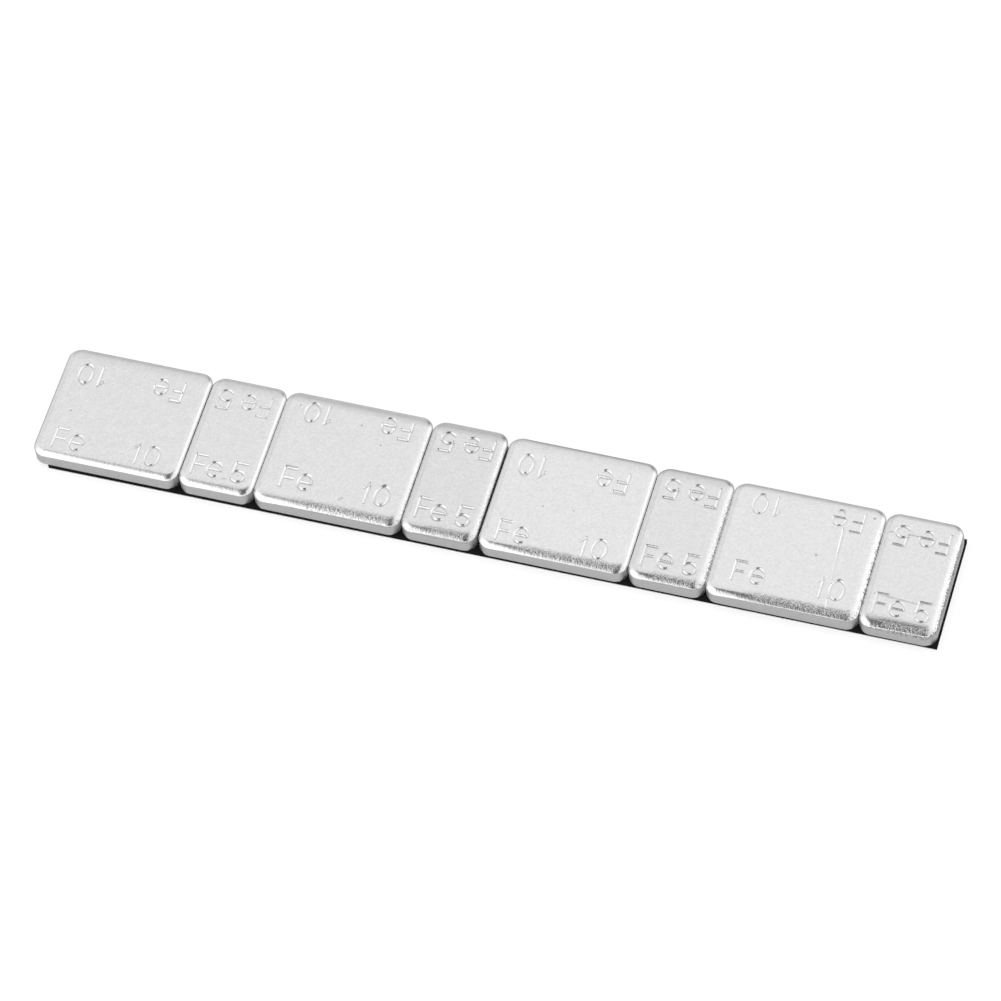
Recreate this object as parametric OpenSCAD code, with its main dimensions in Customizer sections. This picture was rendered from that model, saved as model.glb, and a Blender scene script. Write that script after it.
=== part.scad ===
// Stick-on wheel balance weight: coined steel weights in a row on one strip of foam tape.
// The row lies along X with the tape down. The origin is the middle of the resting face.

/* [Row of weights] */
// Pairs in the row, each a heavy weight with a light one to its right
pairs = 4; // [1:1:8]
// Length of a heavy weight, for 10 g of steel
heavy_l = 23; // [14:0.05:32]
// Length of a light weight, for 5 g of steel
light_l = 11.65; // [7:0.05:16]
// Width of every weight
weight_w = 20; // [12:0.5:30]
// Height of every weight
weight_h = 2.83; // [2:0.01:6]
// Gap between neighbours
weight_gap = 0.16; // [0.05:0.01:2]

/* [Coined form] */
// Radius of the four upright corners
corner_r = 2; // [1.3:0.1:3]
// Width of the rounded top edge, seen from above
edge_run = 1.1; // [0.4:0.05:1.25]
// Slope of that rounding, in degrees, where it breaks off at the sheared wall
edge_slope = 60; // [35:1:75]

/* [Foam tape] */
// Thickness of the foam tape
tape_t = 1; // [0.5:0.1:2]
// How much the tape is narrower than the weights, on each side
tape_margin = 0.5; // [0:0.1:2]
// How far the tape stops short of the left end of the row
tape_short = 2.35; // [0:0.05:4]
// How far the tape stands out past the right end of the row
tape_proud = 0.2; // [0:0.05:2]
// How far the tape was laid off the row's centre line, towards the front
tape_off = 0.3; // [-1:0.05:1]
// Slant at which the tape was laid along the row, in degrees
tape_slant = 0.15; // [-0.4:0.05:0.4]

/* [Release liner] */
// Thickness of the paper liner that covers the adhesive
liner_t = 0.15; // [0.1:0.01:0.3]

/* [Hidden] */
$fn = 96;

// The rounding is an arc, level at the top face and sloping by edge_slope at the wall
edge_r = edge_run / sin(edge_slope);
level_cut = 0.002;

// Along the row: the left end of the first weight, and the step from one pair to the next
pair_step = heavy_l + light_l + 2 * weight_gap;
row_l = pairs * pair_step - weight_gap;
overall_l = row_l + tape_proud;
row_start = -overall_l / 2;

// The tape ends tape_proud past the row, so its right end is the right end of the whole part
tape_l = overall_l - tape_short;
tape_w = weight_w - 2 * tape_margin;
tape_x = (overall_l - tape_l) / 2;
foot_z = liner_t + tape_t;

// Section of the outer corner_r of a weight: x runs outwards, y is the height above the foot.
// A round bar lies behind the rounding, and the wall and the top face cut it off. It stands
// level_cut above the top face, so that the face meets it in a clean line.
module edge_section() {
    bar_x = corner_r - edge_run;
    bar_y = weight_h - edge_r + level_cut;
    intersection() {
        square([corner_r, weight_h]);
        union() {
            translate([bar_x, bar_y]) circle(r = edge_r);
            square([bar_x, weight_h]);
            square([corner_r, bar_y]);
        }
    }
}

// One straight side: the section along a length, standing off the middle by a distance
module side(length, off) {
    translate([off, length / 2, 0]) rotate([90, 0, 0]) linear_extrude(length) edge_section();
}

// Coined blank centred on the origin: a plain middle, four sides and four turned corners
module coined_blank(length) {
    core_l = length - 2 * corner_r;
    core_w = weight_w - 2 * corner_r;
    translate([-core_l / 2, -core_w / 2, 0]) cube([core_l, core_w, weight_h]);
    for (turn = [0, 180]) {
        rotate(turn) side(core_w, core_l / 2);
        rotate(turn + 90) side(core_l, core_w / 2);
    }
    for (corner = [[1, 1, 0], [-1, 1, 90], [-1, -1, 180], [1, -1, 270]])
        translate([corner[0] * core_l / 2, corner[1] * core_w / 2, 0])
            rotate(corner[2]) rotate_extrude(angle = 90) edge_section();
}

module heavy_weight(k) {
    color([0.80, 0.81, 0.82])
        translate([row_start + (k - 1) * pair_step + heavy_l / 2, 0, foot_z])
            coined_blank(heavy_l);
}

module light_weight(k) {
    color([0.74, 0.75, 0.77])
        translate([row_start + k * pair_step - weight_gap - light_l / 2, 0, foot_z])
            coined_blank(light_l);
}

// Outline of the tape as it was laid, with a thickness
module strip(thickness) {
    translate([tape_x, -tape_off, 0]) rotate(tape_slant)
        translate([-tape_l / 2, -tape_w / 2, 0]) cube([tape_l, tape_w, thickness]);
}

module foam_tape() {
    color([0.10, 0.10, 0.11]) translate([0, 0, liner_t]) strip(tape_t);
}

module release_liner() {
    color([0.93, 0.93, 0.90]) strip(liner_t);
}

for (k = [1:pairs]) {
    heavy_weight(k);
    light_weight(k);
}
foam_tape();
release_liner();
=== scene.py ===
import math
import bpy
import numpy as np
from mathutils import Matrix, Vector


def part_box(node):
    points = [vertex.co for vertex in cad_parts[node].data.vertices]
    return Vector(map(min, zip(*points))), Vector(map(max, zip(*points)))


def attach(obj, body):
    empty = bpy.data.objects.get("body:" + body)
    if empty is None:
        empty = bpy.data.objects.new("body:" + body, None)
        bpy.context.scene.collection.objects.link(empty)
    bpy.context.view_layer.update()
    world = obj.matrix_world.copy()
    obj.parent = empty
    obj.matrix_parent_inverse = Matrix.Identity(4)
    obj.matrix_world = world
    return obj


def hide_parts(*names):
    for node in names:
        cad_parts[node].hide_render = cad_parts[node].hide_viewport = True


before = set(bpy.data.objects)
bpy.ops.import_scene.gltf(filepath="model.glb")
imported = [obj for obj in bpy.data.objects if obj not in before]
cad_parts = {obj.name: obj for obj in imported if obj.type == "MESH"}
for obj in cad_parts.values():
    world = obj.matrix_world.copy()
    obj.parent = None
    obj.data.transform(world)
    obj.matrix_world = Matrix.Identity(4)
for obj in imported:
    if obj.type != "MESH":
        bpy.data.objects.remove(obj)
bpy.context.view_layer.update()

# Stick-on wheel balance weight. Lengths here are in millimetres unless a name or a comment says otherwise.
MM = 0.001

# Coined top edge, as in the part's source
CORNER_R = 2.0
EDGE_RUN = 1.1
EDGE_SLOPE = 60.0
EDGE_R = EDGE_RUN / math.sin(math.radians(EDGE_SLOPE))
LEVEL_CUT = 0.002

# Spacing of the grid on a weight: close along its length and across its rows of marks, wide elsewhere
FINE_STEP = 0.075
FINE_MARGIN = 0.1
COARSE_STEP = 0.3
# Number of grid lines across the rounding, and of rings down the walls
EDGE_LINES = 27
WALL_RINGS = 5

# Other forms that an edge has, as slopes in degrees at distances inside the outline. A worn edge is
# rounded over a wide run and a crisp one over a short run. A bevelled edge has a nearly even slope, a
# settled one a gentle slope and a rolled one a steep lip with a gentle slope behind it. A dome bows the
# top down towards its edge, and a rim is a steep strip along the very edge, of width 1.
WORN_SLOPES = [(0.0, 42), (0.12, 36), (0.3, 30), (0.55, 23), (0.9, 14), (1.2, 8), (1.6, 3), (2.0, 0)]
CRISP_SLOPES = [(0.0, 52), (0.25, 44), (0.4, 30), (0.55, 14), (0.8, 4), (1.0, 0)]
BEVEL_SLOPES = [(0.0, 52), (0.3, 48), (0.6, 40), (0.75, 18), (0.9, 4), (1.1, 0)]
SETTLED_SLOPES = [(0.0, 26), (0.5, 25), (0.9, 19), (1.3, 10), (1.8, 3), (2.2, 0)]
ROLLED_SLOPES = [(0.0, 58), (0.08, 42), (0.25, 30), (0.9, 26), (1.15, 14), (1.4, 5), (1.7, 0)]
DOME_SLOPES = [(0.0, 2), (0.4, 5), (0.9, 12), (1.1, 12), (1.6, 7), (2.2, 2), (2.8, 0)]
RIM_SLOPES = [(0.0, 72), (0.6, 66), (1.0, 0)]
SLOPE_STEPS = 240

# Where the wear of the near edge is given, as shares of the half length
NEAR_PLACES = (-0.95, -0.2, 0.9)
# How strongly the right edge is rolled, at shares of the half width: hardly at its far corner
ROLLED_PLACES = (-0.9, 0.6, 0.86)
ROLLED_SHARES = (1.12, 0.8, 0.1)

# Pebbles on the worn edges, in coarse and in finer bumps
PEBBLE_SIZE = 0.22
PEBBLE_RISE = 0.016
PEBBLE_FINER = 1.9
PEBBLE_FINER_SHARE = 0.6
# Cosine and sine of the turn of their noise, which would line up with the edges otherwise
PEBBLE_TURN = (0.8, 0.6)
# They lie between these distances inside the outline and fade over a length
PEBBLE_BAND = (0.1, 1.6)
PEBBLE_FADE = 0.5
# How pebbled a near edge is without any wear, and how much a rolled edge is
PEBBLED_LEAST = 0.2
PEBBLED_ROLLED = 0.5

# Slow waves on the top face, in long and in shorter ones
WAVE_SIZE = 1.3
WAVE_RISE = 0.002
WAVE_SHORTER = 2.3
WAVE_SHORTER_SHARE = 0.5

# Cells of the noise, after which it repeats, and where its middle lies among them
NOISE_CELLS = 159
NOISE_MIDDLE = 70.0
# Seed of the first weight in the order of their names, and the step to the next one's
SEED_FIRST = 100
SEED_STEP = 10

# Strips along the edges, dark in specks for burrs and, on the near edges, for a painted reflection of the
# dark surroundings in front: their width, their fade and what adds to them
BURR_AND_REFLECTION_WIDTH = 0.55
BURR_AND_REFLECTION_FADE = 0.3
BURR_AND_REFLECTION_ROLLED = 1.1
BURR_AND_REFLECTION_WORN = 0.15
BURR_AND_REFLECTION_RIM = 1.6
BURR_AND_REFLECTION_PEBBLED = 0.55
# The pebbles add to them where a spot belongs to the near side by more than this share
BURR_AND_REFLECTION_NEAR = 0.3

# Engraved strokes, and how far around a stroke its groove is worked out
STROKE_HALF = 0.28
STROKE_DEPTH = 0.22
STROKE_REACH = 0.5
# How steep the groove is from its middle to its rim, as shares of the half width and of the steepest part
STROKE_WALL = [(0.0, 0.0), (0.2, 1.0), (0.5, 1.0), (0.75, 0.45), (1.0, 0.0)]
STROKE_STEPS = 60
ROW_IN = 3.6
ROW_OUT = 8.9


# Camera, fitted to the photograph

CAMERA_AT = Vector((165.545, -393.614, 653.057))
CAMERA_AIM = Vector((1.427, -1.328, 3.0))
CAMERA_ROLL = -7.717
CAMERA_LENS = 187.9


def fit_camera():
    camera_data = bpy.data.cameras.new("camera")
    camera_data.lens = CAMERA_LENS
    camera_data.sensor_width = 36.0
    camera_data.sensor_fit = "HORIZONTAL"
    camera_data.clip_start = 0.01
    camera_data.clip_end = 50.0
    camera = bpy.data.objects.new("camera", camera_data)
    bpy.context.scene.collection.objects.link(camera)
    heading = (CAMERA_AIM - CAMERA_AT).to_track_quat("-Z", "Y").to_matrix().to_4x4()
    roll = Matrix.Rotation(math.radians(CAMERA_ROLL), 4, "Z")
    camera.matrix_world = Matrix.Translation(CAMERA_AT * MM) @ heading @ roll
    bpy.context.scene.camera = camera


# Strokes of the marks, seen the right way up, from the middle of the stamp

CAP_TOP = -4.38
CAP_MID = -6.10
CAP_FOOT = -7.72


def arc(cx, cy, rx, ry, start, end, steps=28):
    turn = np.radians(np.linspace(start, end, steps))
    return np.stack([cx + rx * np.cos(turn), cy + ry * np.sin(turn)], axis=1)


def line(*points):
    return np.array(points, dtype=float)


def letter_f(x, top=CAP_TOP, mid=CAP_MID):
    return [line((x, CAP_FOOT), (x, top), (x + 1.72, top)), line((x, mid), (x + 1.55, mid))]


def letter_e(x, y, rx, ry):
    return [arc(x, y, rx, ry, -4, 302), line((x - rx, y - 0.06), (x + rx, y - 0.06))]


def digit_1(x):
    return [line((x - 0.72, -5.12), (x, CAP_TOP), (x, CAP_FOOT))]


def digit_0(x):
    return [arc(x, -5.98, 1.04, 1.68, 0, 360, steps=48)]


def digit_5(x):
    bowl = arc(x, -6.78, 1.03, 0.96, 148, -143)
    return [np.vstack([line((x + 1.02, -4.42), (x - 0.72, -4.42)), bowl])]


HEAVY_STAMP = letter_f(-8.24) + letter_e(-4.68, -6.33, 0.99, 1.33) + digit_1(4.95) + digit_0(7.3)
LIGHT_STAMP = letter_f(-4.1, -4.31, -6.0) + letter_e(-0.72, -6.36, 1.05, 1.27) + digit_5(3.0)

# How each weight differs from the others:
# stamp: offset of its marks from its middle
# rows: how wide and deep the near and the far row of marks are pressed
# near: wear of the near edge at its left, middle and right, -1 bevelled, 0 as coined, 1 worn
# right: form of the right edge, below 0 crisp, above 0 rolled
# far: form of the far edge, below 0 bevelled, above 0 settled
# rim: widths of the steep rims on the near and the right edge
# dome: how far the top is domed to the near and to the far side
# swell: how far the left and the right end stand out from the part's outline
# shade: how bright its plating is
# spots: dark spots where small dents are, their darkness a painted shade, each with its place from the
# middle and its radius
WEIGHTS = {
    "weight_10g_1": dict(
        stamp=(-0.39, -0.62), rows=(0.75, 0.9), near=(-0.5, 0.0, 0.1), right=-0.9, far=0.0,
        rim=(0.0, 0.0), dome=(0.05, 0.6), swell=(0.0, 0.05), shade=1.032,
        spots=[(-7.84, -1.55, 0.2)]),
    "weight_5g_1": dict(
        stamp=(0.00, -0.26), rows=(0.85, 0.7), near=(-0.5, 0.0, 0.15), right=-0.9, far=0.1,
        rim=(0.05, 0.0), dome=(0.35, 0.7), swell=(0.05, 0.07), shade=1.025),
    "weight_10g_2": dict(
        stamp=(0.44, 0.67), rows=(1.0, 0.95), near=(-0.8, 0.45, 0.6), right=0.45, far=0.85,
        rim=(0.14, 0.05), dome=(0.6, 0.1), swell=(0.07, 0.05), shade=1.03,
        spots=[(1.07, 6.1, 0.22), (4.91, 3.34, 0.2)]),
    "weight_5g_2": dict(
        stamp=(0.08, 0.19), rows=(1.0, 0.95), near=(-0.8, 0.4, 0.65), right=0.4, far=0.95,
        rim=(0.16, 0.0), dome=(0.5, 0.2), swell=(0.05, 0.0), shade=0.99),
    "weight_10g_3": dict(
        stamp=(-0.46, -0.78), rows=(0.85, 0.95), near=(-0.9, 0.85, 0.95), right=-0.5, far=-0.3,
        rim=(0.0, 0.0), dome=(0.1, 0.5), swell=(-0.13, 0.05), shade=1.065,
        spots=[(-3.38, -1.39, 0.2), (1.28, -1.12, 0.16)]),
    "weight_5g_3": dict(
        stamp=(0.03, -0.12), rows=(0.85, 0.9), near=(-0.8, 0.5, 0.6), right=0.75, far=-0.3,
        rim=(0.12, 0.0), dome=(0.2, 0.8), swell=(0.05, 0.07), shade=1.015),
    "weight_10g_4": dict(
        stamp=(0.24, 0.55), rows=(0.8, 0.65), near=(-1.0, 0.95, 1.15), right=0.8, far=0.15,
        rim=(0.12, 0.05), dome=(0.15, 0.1), swell=(0.07, 0.07), shade=1.062,
        spots=[(3.07, -0.2, 0.28), (9.91, 7.94, 0.26)]),
    "weight_5g_4": dict(
        stamp=(0.03, -0.10), rows=(0.75, 0.8), near=(-0.6, 1.0, 1.0), right=1.0, far=0.1,
        rim=(0.3, 0.24), dome=(0.9, 0.0), swell=(0.07, 0.0), shade=1.034),
}

# Scribed lines and nicks, from the middle of the weight: points, half width, depth
SCRATCHES = {
    "weight_10g_4": [
        (line((5.88, 5.1), (5.95, 3.4), (6.06, 0.9)), 0.23, 0.17),
        (line((6.07, 0.6), (6.18, -2.35), (6.34, -3.7)), 0.15, 0.09),
        (line((6.44, -4.5), (6.52, -6.2)), 0.13, 0.06),
        (line((6.58, -7.2), (6.66, -8.6)), 0.19, 0.12),
    ],
    "weight_5g_4": [
        (line((-4.6, -4.62), (-3.9, -4.7), (1.95, -4.98), (2.9, -4.9)), 0.10, 0.04),
        (line((-0.4, 6.33), (-2.05, 6.36)), 0.10, 0.05),
        (line((-4.4, 6.3), (-5.2, 6.22)), 0.12, 0.05),
        (line((-4.6, 3.3), (-0.3, 3.36)), 0.09, 0.02),
    ],
    "weight_5g_1": [(line((-0.75, -8.42), (1.6, -7.83)), 0.10, 0.04)],
    "weight_10g_2": [
        (line((-9.05, 7.45), (-8.95, 7.55)), 0.16, 0.08),
        (line((1.6, -7.5), (2.05, -6.95)), 0.12, 0.05),
    ],
}


def stroke_distance(px, py, path):
    best = np.full(px.shape, np.inf)
    for (ax, ay), (bx, by) in zip(path[:-1], path[1:]):
        dx, dy = bx - ax, by - ay
        along = np.clip(((px - ax) * dx + (py - ay) * dy) / (dx * dx + dy * dy), 0, 1)
        best = np.minimum(best, np.hypot(px - ax - along * dx, py - ay - along * dy))
    return best


def groove(distance, half, depth):
    """A groove with steep walls and a rounded rim, as deep as depth and half wide on each side."""
    reach = np.linspace(0, 1, STROKE_STEPS)
    steep = np.interp(reach, *zip(*STROKE_WALL))
    left = np.cumsum(steep[::-1])[::-1] - steep / 2
    return depth * np.interp(np.clip(distance / half, 0, 1), reach, left / left[0])


def engraving(name, px, py, strokes):
    """Depth of the marks and scratches of a weight at each spot."""
    spec = WEIGHTS[name]
    ox, oy = spec["stamp"]
    cut = np.zeros(px.shape)
    for turned, size in zip((False, True), spec["rows"]):
        sx, sy = (ox - px, oy - py) if turned else (px - ox, py - oy)
        for path in strokes:
            low = path.min(axis=0) - STROKE_REACH
            high = path.max(axis=0) + STROKE_REACH
            near = (sx > low[0]) & (sx < high[0]) & (sy > low[1]) & (sy < high[1])
            distance = stroke_distance(sx[near], sy[near], path)
            cut[near] = np.maximum(cut[near], groove(distance, STROKE_HALF * size, STROKE_DEPTH * size))
    for path, half, depth in SCRATCHES.get(name, []):
        cut = np.maximum(cut, groove(stroke_distance(px, py, path), half, depth))
    return cut


# Grid of the top face

def grid_lines(half, fine):
    """Lines from -half to half: close at the edges, close inside the fine spans, wide elsewhere."""
    edge = CORNER_R - CORNER_R * np.cos(np.linspace(0, math.pi / 2, EDGE_LINES))
    inner = half - CORNER_R
    lines = [-inner]
    while lines[-1] < inner:
        here = lines[-1]
        step = FINE_STEP if any(a - FINE_MARGIN <= here <= b for a, b in fine) else COARSE_STEP
        lines.append(here + step)
    inside = np.array(lines)
    inside = -inner + (inside + inner) * (2 * inner) / (inside[-1] + inner)
    left = -half + edge[:-1]
    return np.concatenate([left, inside, -left[::-1]])


def to_rounded(gx, gy, half_x, half_y):
    """Bends the square corners of a grid to quarter discs.

    Gives x, y, the depth inside the outline, and how far each spot belongs to the near, far and right side.
    """
    ix, iy = half_x - CORNER_R, half_y - CORNER_R
    u = np.clip((np.abs(gx) - ix) / CORNER_R, 0, 1)
    v = np.clip((np.abs(gy) - iy) / CORNER_R, 0, 1)
    corner = (u > 0) & (v > 0)
    ring = np.maximum(u, v)
    small = np.minimum(u, v) / np.maximum(ring, 1e-9)
    angle = np.where(u >= v, small * math.pi / 4, math.pi / 2 - small * math.pi / 4)
    x = np.where(corner, np.sign(gx) * (ix + CORNER_R * ring * np.cos(angle)), gx)
    y = np.where(corner, np.sign(gy) * (iy + CORNER_R * ring * np.sin(angle)), gy)
    to_right = np.where(corner, np.cos(angle), u > 0) * (gx > 0)
    to_near = np.where(corner, np.sin(angle), v > 0) * (gy < 0)
    to_far = np.where(corner, np.sin(angle), v > 0) * (gy > 0)
    return x, y, CORNER_R * (1 - ring), to_near ** 2, to_far ** 2, to_right ** 2


# Height of the top face

def fall(distance, slopes):
    """Depth below the level face, where the face slopes down by these degrees at these distances."""
    reach = np.linspace(0, slopes[-1][0], SLOPE_STEPS)
    steep = np.tan(np.radians(np.interp(reach, *zip(*slopes))))
    depth = np.concatenate([[0], np.cumsum((steep[1:] + steep[:-1]) / 2 * np.diff(reach))])
    return np.interp(distance, reach, depth[-1] - depth)


def edge_drop(inset, wear, settled, crisp, rolled):
    """How far the edge lies below the level face at a distance inside the outline.

    Wear goes from -1 (bevelled) over 0 (as coined) to 1 (worn flat). Settled, crisp and rolled are the
    shares of these forms.
    """
    out = np.clip(EDGE_RUN - inset, 0, EDGE_RUN)
    coined = EDGE_R - np.sqrt(np.maximum(EDGE_R ** 2 - out ** 2, 0))
    coined = np.maximum(coined - LEVEL_CUT, 0)
    worn, bevelled = np.maximum(wear, 0), np.maximum(-wear, 0)
    return (coined * (1 - worn - bevelled - settled - crisp - rolled) + fall(inset, WORN_SLOPES) * worn
            + fall(inset, BEVEL_SLOPES) * bevelled + fall(inset, SETTLED_SLOPES) * settled
            + fall(inset, CRISP_SLOPES) * crisp + fall(inset, ROLLED_SLOPES) * rolled)


def rim_drop(inset, width):
    """A steep strip of a width along the very edge."""
    wide = np.maximum(width, 1e-6)
    return fall(inset / wide, RIM_SLOPES) * wide


def value_noise(x, y, size, seed):
    """Smooth noise from -1 to 1 on the plane, with bumps of about a size."""
    rng = np.random.default_rng(seed)
    cells = rng.uniform(-1, 1, (NOISE_CELLS + 1, NOISE_CELLS + 1))
    u, v = x / size + NOISE_MIDDLE, y / size + NOISE_MIDDLE
    i, j = np.floor(u).astype(int), np.floor(v).astype(int)
    a, b = u - i, v - j
    a, b = a * a * (3 - 2 * a), b * b * (3 - 2 * b)
    i, j = i % NOISE_CELLS, j % NOISE_CELLS
    low = cells[i, j] * (1 - a) + cells[i + 1, j] * a
    high = cells[i, j + 1] * (1 - a) + cells[i + 1, j + 1] * a
    return low * (1 - b) + high * b


def pebbles(px, py, seed):
    cos_turn, sin_turn = PEBBLE_TURN
    x = px * cos_turn + py * sin_turn
    y = py * cos_turn - px * sin_turn
    coarse = value_noise(x, y, PEBBLE_SIZE, seed)
    finer = value_noise(y, x, PEBBLE_SIZE / PEBBLE_FINER, seed + 3)
    return (coarse + PEBBLE_FINER_SHARE * finer) * PEBBLE_RISE


def waves(px, py, seed):
    """Waves that only touch the level face from below."""
    long = value_noise(px, py, WAVE_SIZE, seed + 1)
    shorter = value_noise(px, py, WAVE_SIZE / WAVE_SHORTER, seed + 2)
    return (long + WAVE_SHORTER_SHARE * shorter - 1 - WAVE_SHORTER_SHARE) * WAVE_RISE


def pebbled_share(inset, worn_near, rolled, to_near):
    start, end = PEBBLE_BAND
    band = np.clip((end - inset) / PEBBLE_FADE, 0, 1) * np.clip((inset - start) / PEBBLE_FADE, 0, 1)
    return band * (np.minimum(PEBBLED_LEAST + worn_near, 1) * to_near + PEBBLED_ROLLED * rolled)


# How far each spot is darkened in specks: for burrs, and on the near edges for a painted reflection of the
# dark surroundings in front
def burred_share(inset, pebbled, worn_near, rolled, rim_near, to_near):
    strip = np.clip((BURR_AND_REFLECTION_WIDTH - inset) / BURR_AND_REFLECTION_FADE, 0, 1)
    strip = strip * (BURR_AND_REFLECTION_ROLLED * rolled + BURR_AND_REFLECTION_WORN * worn_near + BURR_AND_REFLECTION_RIM * rim_near * to_near)
    return np.clip(strip + BURR_AND_REFLECTION_PEBBLED * pebbled * (to_near > BURR_AND_REFLECTION_NEAR), 0, 1)


def weight_top(name, strokes, half_x, half_y, top_z):
    """The coined, worn and engraved top of a weight, about its middle.

    Gives x, y and z of its grid, how pebbled each spot is, and how far it is darkened for burrs and for a
    painted reflection.
    """
    spec = WEIGHTS[name]
    xs = grid_lines(half_x, [(-half_x, half_x)])
    ys = grid_lines(half_y, [(-ROW_OUT, -ROW_IN), (ROW_IN, ROW_OUT)])
    gx, gy = np.meshgrid(xs, ys, indexing="ij")
    px, py, inset, to_near, to_far, to_right = to_rounded(gx, gy, half_x, half_y)

    wear = np.interp(px / half_x, NEAR_PLACES, spec["near"]) * to_near
    worn_near = np.clip(wear, 0, 1)
    wear = wear + min(spec["far"], 0) * to_far
    settled = max(spec["far"], 0) * to_far
    crisp = max(-spec["right"], 0) * to_right
    rolled = max(spec["right"], 0) * to_right * np.interp(py / half_y, ROLLED_PLACES, ROLLED_SHARES)

    swell_left, swell_right = spec["swell"]
    px = px + np.where(px > 0, swell_right, -swell_left) * np.abs(px) / half_x
    rim_near, rim_right = spec["rim"]
    rim = rim_drop(inset, rim_near * to_near * np.clip(px / half_x + 1, 0, 1) + rim_right * to_right)
    dome_near, dome_far = spec["dome"]
    dome = dome_near * fall(half_y + py, DOME_SLOPES) + dome_far * fall(half_y - py, DOME_SLOPES)
    drop = edge_drop(inset, wear, settled, crisp, rolled) + rim + dome + engraving(name, px, py, strokes)

    seed = SEED_FIRST + sorted(WEIGHTS).index(name) * SEED_STEP
    pebbled = pebbled_share(inset, worn_near, rolled, to_near)
    relief = pebbles(px, py, seed) * pebbled + waves(px, py, seed) * np.clip(inset / CORNER_R, 0, 1)
    pz = np.minimum(top_z - drop + relief, top_z)
    return px, py, pz, pebbled, burred_share(inset, pebbled, worn_near, rolled, rim_near, to_near)


# Meshes

def add_mesh(name, verts, faces):
    mesh = bpy.data.meshes.new(name)
    mesh.vertices.add(len(verts))
    mesh.vertices.foreach_set("co", np.asarray(verts, dtype=np.float32).ravel())
    sizes = np.array([len(f) for f in faces], dtype=np.int32)
    starts = np.concatenate([[0], np.cumsum(sizes)[:-1]]).astype(np.int32)
    loops = np.concatenate([np.asarray(f, dtype=np.int32) for f in faces])
    mesh.loops.add(int(sizes.sum()))
    mesh.loops.foreach_set("vertex_index", loops)
    mesh.polygons.add(len(faces))
    mesh.polygons.foreach_set("loop_start", starts)
    mesh.polygons.foreach_set("loop_total", sizes)
    mesh.update(calc_edges=True)
    mesh.validate()
    mesh.polygons.foreach_set("use_smooth", np.ones(len(mesh.polygons), dtype=bool))
    return mesh


def mark_sharp(mesh, rings):
    """Makes the edges along closed rings of vertices sharp."""
    edges = np.empty(len(mesh.edges) * 2, dtype=np.int32)
    mesh.edges.foreach_get("vertices", edges)
    edges = edges.reshape(-1, 2)
    sharp = np.zeros(len(edges), dtype=bool)
    for ring in rings:
        inside = np.zeros(len(mesh.vertices), dtype=bool)
        inside[ring] = True
        sharp |= inside[edges[:, 0]] & inside[edges[:, 1]]
    layer = mesh.attributes.new("sharp_edge", "BOOLEAN", "EDGE")
    layer.data.foreach_set("value", sharp)


def paint(mesh, name, values, first=0):
    """A number at each vertex for the material, given from a first vertex on and 0 elsewhere."""
    painted = np.zeros(len(mesh.vertices), dtype=np.float32)
    painted[first:first + values.size] = values.ravel()
    layer = mesh.attributes.new(name, "FLOAT", "POINT")
    layer.data.foreach_set("value", painted)


def add_object(name, mesh):
    obj = bpy.data.objects.new(name, mesh)
    bpy.context.scene.collection.objects.link(obj)
    return obj


def wall_rings(top, rim, foot_z):
    """All vertices of a top and of the rings under its rim, and the rings' indices from the rim down."""
    verts, rings = [top], [rim]
    for step in range(1, WALL_RINGS + 1):
        ring = top[rim].copy()
        ring[:, 2] += (foot_z - ring[:, 2]) * step / WALL_RINGS
        verts.append(ring)
        rings.append(np.arange(len(rim)) + len(top) + (step - 1) * len(rim))
    return np.concatenate(verts), rings


def build_weight(name, strokes):
    low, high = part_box(name)
    low, high = np.array(low) / MM, np.array(high) / MM
    middle = (low + high) / 2
    half_x, half_y = (high[0] - low[0]) / 2, (high[1] - low[1]) / 2
    px, py, pz, pebbled, burred = weight_top(name, strokes, half_x, half_y, high[2])
    top = np.stack([px + middle[0], py + middle[1], pz], axis=-1).reshape(-1, 3)
    index = np.arange(len(top)).reshape(px.shape)
    rim = np.concatenate([index[:, 0], index[-1, 1:], index[-2::-1, -1], index[0, -2:0:-1]])
    verts, rings = wall_rings(top, rim, low[2])
    quads = np.stack([index[:-1, :-1], index[1:, :-1], index[1:, 1:], index[:-1, 1:]], axis=-1)
    faces = list(quads.reshape(-1, 4))
    for upper, lower in zip(rings[:-1], rings[1:]):
        faces += list(np.stack([upper, lower, np.roll(lower, -1), np.roll(upper, -1)], axis=-1))
    faces.append(rings[-1][::-1])
    mesh = add_mesh(name + "_form", verts * MM, faces)
    mark_sharp(mesh, [rings[0], rings[-1]])
    paint(mesh, "edge", pebbled)
    # Burrs, and on the near edges a painted reflection of the dark surroundings in front, darken the edges
    # in specks
    paint(mesh, "burr", burred)
    paint(mesh, "wall", np.ones(WALL_RINGS * len(rim)), first=len(top))
    obj = add_object(name + "_coined", mesh)
    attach(obj, "root")
    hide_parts(name)
    return obj


# Foam tape and liner: cut strips whose sides are a little uneven

# Points so near to an end belong to its corners
STRIP_END = 0.2
STRIP_SEED = 11
# Rounded edges: their bend lies at this share of the radius. Levels between them, as shares of the height
STRIP_BEND = 0.3
STRIP_LEVELS = (0.3, 0.5, 0.7)
# Slow and fast part of the wave: over how many points it is evened out, how strong it is, its share
SLOW_SPAN, SLOW_GAIN, SLOW_SHARE = 41, 1.8, 1.0
FAST_SPAN, FAST_GAIN, FAST_SHARE = 5, 1.0, 0.5


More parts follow.
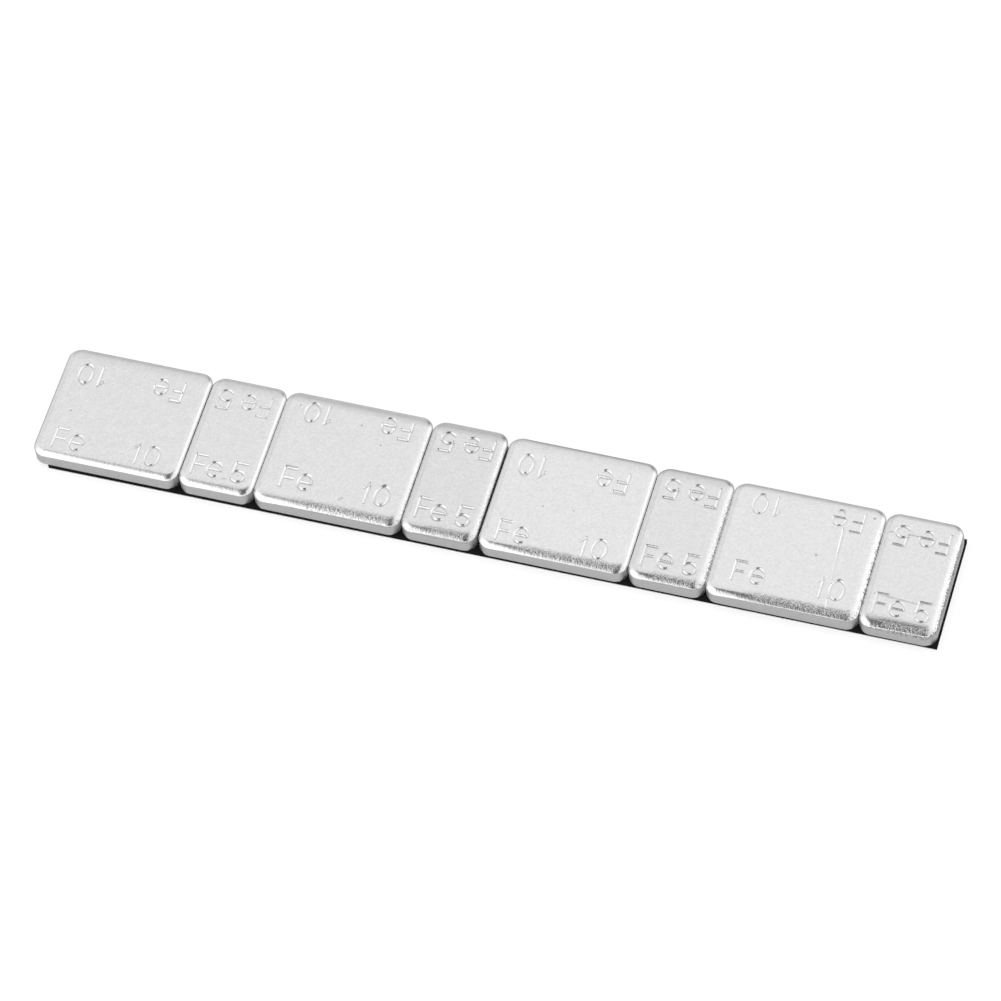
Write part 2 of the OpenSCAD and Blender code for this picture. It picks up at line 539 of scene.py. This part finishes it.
def strip_frame(node):
    """Middle, turn, length, width and the two levels of a cut strip, from the part's own mesh."""
    mesh = bpy.data.objects[node].data
    co = np.empty(len(mesh.vertices) * 3)
    mesh.vertices.foreach_get("co", co)
    co = co.reshape(-1, 3) / MM
    low, high = co.min(axis=0), co.max(axis=0)
    left = co[co[:, 0] < low[0] + STRIP_END]
    right = co[co[:, 0] > high[0] - STRIP_END]
    near_left = left[left[:, 1].argmin()]
    far_left = left[left[:, 1].argmax()]
    near_right = right[right[:, 1].argmin()]
    length = math.hypot(near_right[0] - near_left[0], near_right[1] - near_left[1])
    width = math.hypot(far_left[0] - near_left[0], far_left[1] - near_left[1])
    turn = math.atan2(near_right[1] - near_left[1], near_right[0] - near_left[0])
    return (low + high) / 2, turn, length, width, low[2], high[2]


def turned_spot(centre, turn, x, y):
    return (centre[0] + x * math.cos(turn) - y * math.sin(turn),
            centre[1] + x * math.sin(turn) + y * math.cos(turn))


def strip_outline(length, width, cell):
    """Closed ring of points about the middle, a cell apart, from the near left corner on."""
    nx, ny = int(length / cell), int(width / cell)
    along_x = np.linspace(-length / 2, length / 2, nx + 1)
    along_y = np.linspace(-width / 2, width / 2, ny + 1)
    return np.concatenate([
        np.stack([along_x[:-1], np.full(nx, -width / 2)], axis=1),
        np.stack([np.full(ny, length / 2), along_y[:-1]], axis=1),
        np.stack([along_x[:0:-1], np.full(nx, width / 2)], axis=1),
        np.stack([np.full(ny, -length / 2), along_y[:0:-1]], axis=1),
    ])


def strip_profile(height, round_r):
    """Levels from foot to top as shares of the height, and how far the rounding pulls each one in."""
    bend = round_r * STRIP_BEND
    upright = [(level, 0.0) for level in (round_r / height, *STRIP_LEVELS, 1 - round_r / height)]
    return [(0.0, round_r), (bend / height, bend), *upright, (1 - bend / height, bend), (1.0, round_r)]


def uneven(rng, count, span, gain, share):
    """Random values from 0 to a share, evened out over a span of neighbours."""
    drawn = np.convolve(rng.normal(size=count + span - 1), np.ones(span) / span, mode="valid")
    return share * np.clip(drawn * gain + 0.5, 0, 1)


def pulled_in(ring, pull, length, width):
    """The ring with the points on its sides moved inwards."""
    shape = ring.copy()
    for axis, whole in enumerate((length, width)):
        on_side = np.abs(ring[:, axis]) > whole / 2 - 1e-6
        shape[:, axis] -= np.sign(ring[:, axis]) * np.where(on_side, pull, 0)
    return shape


def strip_piece(node, new_name, cell, wave, round_r):
    """A strip with edges rounded by a radius and sides that are uneven by about a wave."""
    centre, turn, length, width, foot, top = strip_frame(node)
    ring = strip_outline(length, width, cell)
    rng = np.random.default_rng(STRIP_SEED)
    slow = uneven(rng, len(ring), SLOW_SPAN, SLOW_GAIN, SLOW_SHARE)
    rings, verts = [], []
    for k, (level, inset) in enumerate(strip_profile(top - foot, round_r)):
        fast = uneven(rng, len(ring), FAST_SPAN, FAST_GAIN, FAST_SHARE)
        shape = pulled_in(ring, inset + wave * (slow + fast), length, width)
        x, y = turned_spot(centre, turn, shape[:, 0], shape[:, 1])
        verts.append(np.stack([x, y, np.full(len(x), foot + (top - foot) * level)], axis=1))
        rings.append(np.arange(k * len(ring), (k + 1) * len(ring)))
    faces = [rings[0][::-1], rings[-1]]
    for lower, upper in zip(rings[:-1], rings[1:]):
        faces += list(np.stack([lower, np.roll(lower, -1), np.roll(upper, -1), upper], axis=-1))
    mesh = add_mesh(new_name + "_form", np.concatenate(verts) * MM, faces)
    mark_sharp(mesh, [rings[0], rings[-1]])
    obj = add_object(new_name, mesh)
    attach(obj, "root")
    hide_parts(node)
    return obj


# Materials

class Nodes:
    """Short way to add shader nodes and link them."""

    def __init__(self, tree):
        self.tree = tree
        tree.nodes.clear()

    def add(self, kind, settings=None, **inputs):
        node = self.tree.nodes.new(kind)
        for key, value in (settings or {}).items():
            setattr(node, key, value)
        for key, value in inputs.items():
            self.put(node, key, value)
        return node

    def put(self, node, key, value):
        """Links or sets an input, which is named in0, in1 and so on, or by its own name."""
        socket = node.inputs[int(key[2:]) if key.startswith("in") else key.replace("_", " ")]
        if isinstance(value, bpy.types.NodeSocket):
            self.tree.links.new(value, socket)
        else:
            socket.default_value = value

    def math(self, operation, a, b=0.0, c=0.0):
        return self.add("ShaderNodeMath", {"operation": operation}, in0=a, in1=b, in2=c).outputs[0]

    def centred(self, noise):
        """Noise from 0 to 1 moved to lie about 0."""
        return self.math("SUBTRACT", noise, 0.5)

    def vector(self, operation, a, b=(0.0, 0.0, 0.0)):
        return self.add("ShaderNodeVectorMath", {"operation": operation}, in0=a, in1=b).outputs

    def span(self, value, low, high, to_low=0.0, to_high=1.0, soft=True):
        """Maps a value from one span to another one, with soft or straight ends."""
        node = self.add("ShaderNodeMapRange", {"interpolation_type": "SMOOTHSTEP" if soft else "LINEAR"},
                        Value=value, From_Min=low, From_Max=high, To_Min=to_low, To_Max=to_high)
        return node.outputs[0]

    def cone(self, direction, aim, inner, outer, outside=0.0, inside=1.0):
        """A value inside of a cone about an aim and one outside, with half angles in degrees."""
        unit = tuple(Vector(aim).normalized())
        closeness = self.vector("DOT_PRODUCT", direction, unit)["Value"]
        return self.span(closeness, math.cos(math.radians(outer)), math.cos(math.radians(inner)),
                         outside, inside)

    def noise(self, vector, scale, detail, rough, seed):
        node = self.add("ShaderNodeTexNoise", {"noise_dimensions": "4D"}, Vector=vector, W=seed, Scale=scale,
                        Detail=detail, Roughness=rough)
        return node.outputs["Fac"]

    def place(self):
        return self.add("ShaderNodeTexCoord").outputs["Object"]

    def painted(self, name):
        return self.add("ShaderNodeAttribute", {"attribute_name": name}).outputs["Fac"]

    def mix(self, share, a, b):
        return self.add("ShaderNodeMix", {"data_type": "FLOAT"}, Factor=share, A=a, B=b).outputs[0]

    def colour(self, red, green, blue):
        return self.add("ShaderNodeCombineColor", None, Red=red, Green=green, Blue=blue).outputs[0]

    def light(self, strength):
        return self.add("ShaderNodeEmission", None, Color=(1.0, 1.0, 1.0, 1.0), Strength=strength)

    def finish(self, kind, shader):
        self.add(kind, None, Surface=shader.outputs[0])


def new_material(name):
    material = bpy.data.materials.new(name)
    material.use_nodes = True
    return material, Nodes(material.node_tree)


# Zinc-plated steel

# Tones of the plated top and of the sheared walls, and how far noise changes each of them
ZINC_TONE = 0.80
MOTTLE = 0.15
GRAIN = 0.26
WALL_TONE = 0.82
STREAKS = 0.25
# Scales of the noise, per metre, and the share of its scale that streaks have along the walls
CLOUD_SCALE = 800.0
GRAIN_SCALE = 2300.0
PEBBLE_SCALE = 5200.0
SPECK_SCALE = 4200.0
STREAK_SCALE = 9000.0
STREAK_ALONG = 0.10
# Specks grow over this span of their noise, and darken a strip of burrs and painted reflection by up to a
# share
SPECK_SPAN = (0.47, 0.60)
SPECK_DARK = 0.75
# A dark spot, the painted shade of a small dent, has this tone out to a share of its radius
SPOT_TONE = 0.55
SPOT_CORE = 0.4
# A top is the rougher the brighter its clouds are
TOP_ROUGHNESS = (0.17, 0.27)
WALL_ROUGHNESS = 0.42
# Height of the bump in metres, and the shares in it of pebbles on edges and elsewhere, streaks and grain
ZINC_BUMP = 0.00006
BUMP_EDGE = 1.1
BUMP_LEAST = 0.10
BUMP_WALL = 0.8
BUMP_GRAIN = 0.35
# All that is painted more than this as wall is wall
WALL_FROM = 0.02
# Level of the top faces in metres
TOP_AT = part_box("weight_10g_1")[1][2]


def zinc_steel(seed, shade, spots):
    material, n = new_material("zinc_plated_steel_%d" % seed)
    place = n.place()
    wall = n.math("GREATER_THAN", n.painted("wall"), WALL_FROM)
    cloud = n.noise(place, CLOUD_SCALE, detail=3.0, rough=0.5, seed=seed)
    grain = n.noise(place, GRAIN_SCALE, detail=3.0, rough=0.6, seed=seed + 3.0)
    pebble = n.noise(place, PEBBLE_SCALE, detail=2.0, rough=0.5, seed=seed + 7.0)
    speck = n.span(n.noise(place, SPECK_SCALE, detail=2.0, rough=0.6, seed=seed + 9.0), *SPECK_SPAN)
    drawn_out = n.add("ShaderNodeMapping", None, Vector=place, Scale=(STREAK_ALONG, STREAK_ALONG, 1.0))
    streak = n.noise(drawn_out.outputs[0], STREAK_SCALE, detail=3.0, rough=0.6, seed=seed + 5.0)

    tone = n.math("MULTIPLY_ADD", cloud, MOTTLE, (ZINC_TONE - MOTTLE / 2) * shade)
    tone = n.math("MULTIPLY_ADD", grain, GRAIN, n.math("SUBTRACT", tone, GRAIN / 2))
    # Specks darken the edge strips: burrs, and on the near edges a painted reflection of the dark
    # surroundings in front
    darkened = n.math("MULTIPLY", n.math("MULTIPLY", speck, n.painted("burr")), SPECK_DARK)
    tone = n.math("MULTIPLY", tone, n.math("SUBTRACT", 1.0, darkened))
    # Dark spots: the painted shade of small dents
    for x, y, radius in spots:
        offset = n.vector("SUBTRACT", place, (x, y, TOP_AT))["Vector"]
        reach = n.vector("LENGTH", offset)["Value"]
        tone = n.math("MULTIPLY", tone, n.span(reach, SPOT_CORE * radius, radius, SPOT_TONE, 1.0))
    wall_tone = n.math("MULTIPLY_ADD", streak, STREAKS, WALL_TONE - STREAKS / 2)
    value = n.mix(wall, tone, wall_tone)

    smoothest, roughest = TOP_ROUGHNESS
    top_roughness = n.math("MULTIPLY_ADD", cloud, roughest - smoothest, smoothest)
    top_relief = n.math("MULTIPLY", n.centred(pebble),
                        n.math("MULTIPLY_ADD", n.painted("edge"), BUMP_EDGE, BUMP_LEAST))
    wall_relief = n.math("MULTIPLY", n.centred(streak), BUMP_WALL)
    relief = n.math("ADD", n.mix(wall, top_relief, wall_relief), n.math("MULTIPLY", grain, BUMP_GRAIN))
    bump = n.add("ShaderNodeBump", None, Strength=1.0, Distance=ZINC_BUMP, Height=relief)
    shader = n.add("ShaderNodeBsdfPrincipled", None, Base_Color=n.colour(value, value, value), Metallic=1.0,
                   Roughness=n.mix(wall, top_roughness, WALL_ROUGHNESS), Normal=bump.outputs[0])
    n.finish("ShaderNodeOutputMaterial", shader)
    return material


# Black foam

# Its darkest tone, how far cells and clouds brighten it, their scales per metre, and the height of its
# cells in metres
FOAM_TONE = 0.003
FOAM_CELLS = 0.006
FOAM_CLOUDS = 0.004
FOAM_CELL_SCALE = 5200.0
FOAM_CLOUD_SCALE = 700.0
FOAM_BUMP = 0.00008


def foam_material():
    material, n = new_material("black_foam")
    place = n.place()
    cell = n.add("ShaderNodeTexVoronoi", None, Vector=place, Scale=FOAM_CELL_SCALE).outputs["Distance"]
    cloud = n.noise(place, FOAM_CLOUD_SCALE, detail=3.0, rough=0.5, seed=2.0)
    tone = n.math("MULTIPLY_ADD", cell, FOAM_CELLS, FOAM_TONE)
    tone = n.math("MULTIPLY_ADD", cloud, FOAM_CLOUDS, tone)
    bump = n.add("ShaderNodeBump", None, Strength=0.8, Distance=FOAM_BUMP, Height=cell)
    shader = n.add("ShaderNodeBsdfPrincipled", None, Base_Color=n.colour(tone, tone, tone), Metallic=0.0,
                   Roughness=0.85, Specular_IOR_Level=0.08, Normal=bump.outputs[0])
    n.finish("ShaderNodeOutputMaterial", shader)
    return material


# White paper

# Its darkest tone, how far fibres brighten it, their scale per metre, and the share of blue in it
PAPER_TONE = 0.80
PAPER_FIBRES = 0.06
PAPER_FIBRE_SCALE = 900.0
PAPER_BLUE = 0.985


def liner_material():
    material, n = new_material("liner_paper")
    fibre = n.noise(n.place(), PAPER_FIBRE_SCALE, detail=4.0, rough=0.6, seed=9.0)
    tone = n.math("MULTIPLY_ADD", fibre, PAPER_FIBRES, PAPER_TONE)
    warm = n.colour(tone, tone, n.math("MULTIPLY", tone, PAPER_BLUE))
    shader = n.add("ShaderNodeBsdfPrincipled", None, Base_Color=warm, Roughness=0.5)
    n.finish("ShaderNodeOutputMaterial", shader)
    return material


# Floor

# It is pale, white to the camera and bright in reflections, and it keeps the shadow. It is open under
# the liner, which covers the opening from above, so that the liner's underside is lit from below.

# Half the floor's width in metres
FLOOR_REACH = 4.0
# How far inside the liner's outline the opening ends
UNDER_LINER = 0.06
FLOOR_COLOUR = 0.36
# Strength of its light, to the camera and in reflections, where it grows between two distances in metres;
# the weaker glow near the part is a painted shadow in reflections
FLOOR_GLOW = 0.70
FLOOR_GLOW_NEAR = 0.17
NEAR_PART, PAST_PART = 0.10, 0.22
# The floor is dull in reflections behind to the right: direction, inner and outer half angle in degrees
DULL_AIM, DULL_INNER, DULL_OUTER = (0.406, 0.914, 0.0), 12, 34


def flat_floor(name):
    centre, turn, length, width = strip_frame("release_liner")[:4]
    corners = [(-1, -1), (1, -1), (1, 1), (-1, 1)]
    verts = [(x * FLOOR_REACH, y * FLOOR_REACH, 0.0) for x, y in corners]
    for x, y in corners:
        spot = turned_spot(centre, turn, x * (length / 2 - UNDER_LINER), y * (width / 2 - UNDER_LINER))
        verts.append((spot[0] * MM, spot[1] * MM, 0.0))
    faces = [[k, (k + 1) % 4, (k + 1) % 4 + 4, k + 4] for k in range(4)]
    return add_object(name, add_mesh(name, verts, faces))


def floor_material():
    material, n = new_material("floor_pale")
    rays = n.add("ShaderNodeLightPath").outputs
    mirrored = n.math("MAXIMUM", rays["Is Glossy Ray"], rays["Is Transmission Ray"])
    place = n.place()
    away = n.vector("LENGTH", place)["Value"]
    # Weaker near the part: a painted shadow in reflections
    mirror_glow_with_painted_shadow = n.span(away, NEAR_PART, PAST_PART, FLOOR_GLOW_NEAR, FLOOR_GLOW)
    direction = n.vector("NORMALIZE", place)["Vector"]
    shiny = n.cone(direction, DULL_AIM, DULL_INNER, DULL_OUTER, outside=1.0, inside=0.0)
    strength = n.math("MULTIPLY", mirrored, n.math("MULTIPLY", mirror_glow_with_painted_shadow, shiny))
    strength = n.math("MULTIPLY_ADD", rays["Is Camera Ray"], FLOOR_GLOW, strength)
    plain = n.add("ShaderNodeBsdfDiffuse", None, Color=(FLOOR_COLOUR, FLOOR_COLOUR, FLOOR_COLOUR, 1.0))
    total = n.add("ShaderNodeAddShader", None, in0=plain.outputs[0], in1=n.light(strength).outputs[0])
    n.finish("ShaderNodeOutputMaterial", total)
    return material


# World: even white studio light, brighter to the right and low in front, dimmer behind

# Strength of the light all around
WORLD_LEVEL = 1.02
# Direction, inner and outer half angle in degrees, added strength
ZONES = [
    ((0.84, 0.50, 0.08), 27, 47, 0.31),
    ((-0.45, -0.82, 0.25), 38, 62, 0.38),
    ((-0.80, 0.50, 0.20), 30, 60, -0.06),
    ((0.40, 0.90, 0.12), 10, 32, -0.38),
]
# Where it is dimmer behind, as spans of the direction's parts: grows to the back, ends to the right and
# sinks to a share to the left
BEHIND = (0.20, 0.55)
BEHIND_RIGHT = (0.15, 0.50)
BEHIND_LEFT = (-0.80, -0.45)
BEHIND_LEFT_SHARE = 0.30
# Upward parts of the direction up to which this is full and from which on it is gone, and how much it is
BEHIND_STEPS = [(0.765, 0.86, -0.16), (0.25, 0.765, -0.23)]


def studio_world():
    world = bpy.data.worlds.new("studio")
    world.use_nodes = True
    n = Nodes(world.node_tree)
    direction = n.add("ShaderNodeTexCoord").outputs["Generated"]
    level = WORLD_LEVEL
    for aim, inner, outer, added in ZONES:
        level = n.math("MULTIPLY_ADD", n.cone(direction, aim, inner, outer), added, level)
    parts = n.add("ShaderNodeSeparateXYZ", None, Vector=direction).outputs
    behind = n.span(parts["Y"], *BEHIND)
    not_right = n.span(parts["X"], *BEHIND_RIGHT, 1.0, 0.0)
    not_left = n.span(parts["X"], *BEHIND_LEFT, BEHIND_LEFT_SHARE, 1.0)
    dimmer = n.math("MULTIPLY", n.math("MULTIPLY", not_left, behind), not_right)
    for flat, steep, change in BEHIND_STEPS:
        change_here = n.span(parts["Z"], flat, steep, change, 0.0, soft=False)
        level = n.math("MULTIPLY_ADD", change_here, dimmer, level)
    seen = n.add("ShaderNodeLightPath").outputs["Is Camera Ray"]
    background = n.add("ShaderNodeBackground", None, Color=(1.0, 1.0, 1.0, 1.0),
                       Strength=n.mix(seen, level, 1.0))
    n.finish("ShaderNodeOutputWorld", background)
    return world


# Dark arch over the camera: what the bright metal mirrors in its near edges. Lengths in metres

ARCH_R = 0.80
ARCH_LEFT, ARCH_RIGHT = -0.38, 0.42
ARCH_SPAN = (28, 117)
ARCH_STEPS = 30
ARCH_TONE = 0.09
# It fades to the studio's level to its left and its right, and backwards as a share of its radius
FADE_LEFT = (-0.38, -0.08)
FADE_LEFT_POWER = 3.0
FADE_RIGHT = (0.10, 0.26)
FADE_BACK = (0.0, 0.45)
# Level directions: from the part towards the camera, and to the right as the camera sees it
AWAY = np.array([CAMERA_AT.x, CAMERA_AT.y]) / math.hypot(CAMERA_AT.x, CAMERA_AT.y)
ACROSS = np.array([-AWAY[1], AWAY[0]])


def arch_mesh(name):
    verts, faces = [], []
    for k, turn in enumerate(np.radians(np.linspace(*ARCH_SPAN, ARCH_STEPS))):
        for side in (ARCH_LEFT, ARCH_RIGHT):
            spot = AWAY * ARCH_R * math.cos(turn) + ACROSS * side
            verts.append((spot[0], spot[1], ARCH_R * math.sin(turn)))
        if k:
            faces.append([2 * k - 2, 2 * k - 1, 2 * k + 1, 2 * k])
    return add_mesh(name, verts, faces)


def arch_material():
    material, n = new_material("dark_arch")
    place = n.place()
    sideways = n.vector("DOT_PRODUCT", place, (ACROSS[0], ACROSS[1], 0.0))["Value"]
    backward = n.vector("DOT_PRODUCT", place, (-AWAY[0], -AWAY[1], 0.0))["Value"]
    left = n.math("POWER", n.span(sideways, *FADE_LEFT, 1.0, 0.0, soft=False), FADE_LEFT_POWER)
    right = n.span(sideways, *FADE_RIGHT)
    back = n.span(n.math("DIVIDE", backward, ARCH_R), *FADE_BACK, soft=False)
    dark = n.math("MULTIPLY", n.math("SUBTRACT", 1.0, left), n.math("SUBTRACT", 1.0, right))
    dark = n.math("MULTIPLY", dark, n.math("SUBTRACT", 1.0, back))
    strength = n.math("MULTIPLY_ADD", dark, ARCH_TONE - WORLD_LEVEL, WORLD_LEVEL)
    n.finish("ShaderNodeOutputMaterial", n.light(strength))
    return material


# The scene

fit_camera()

for number, (name, spec) in enumerate(WEIGHTS.items()):
    weight = build_weight(name, HEAVY_STAMP if "_10g_" in name else LIGHT_STAMP)
    low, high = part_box(name)
    centre = (low[0] + high[0]) / 2
    spots = [(centre + x * MM, y * MM, radius * MM) for x, y, radius in spec.get("spots", ())]
    weight.data.materials.append(zinc_steel(number, spec["shade"], spots))

tape = strip_piece("foam_tape", "foam_tape_strip", cell=0.25, wave=0.03, round_r=0.06)
tape.data.materials.append(foam_material())
liner = strip_piece("release_liner", "release_liner_sheet", cell=1.0, wave=0.01, round_r=0.02)
liner.data.materials.append(liner_material())

floor = flat_floor("floor")
floor.data.materials.append(floor_material())

bpy.context.scene.world = studio_world()

arch = add_object("dark_arch", arch_mesh("dark_arch"))
arch.data.materials.append(arch_material())
arch.visible_camera = False
arch.visible_diffuse = False
arch.visible_shadow = False

scene = bpy.context.scene
scene.view_settings.view_transform = "Standard"
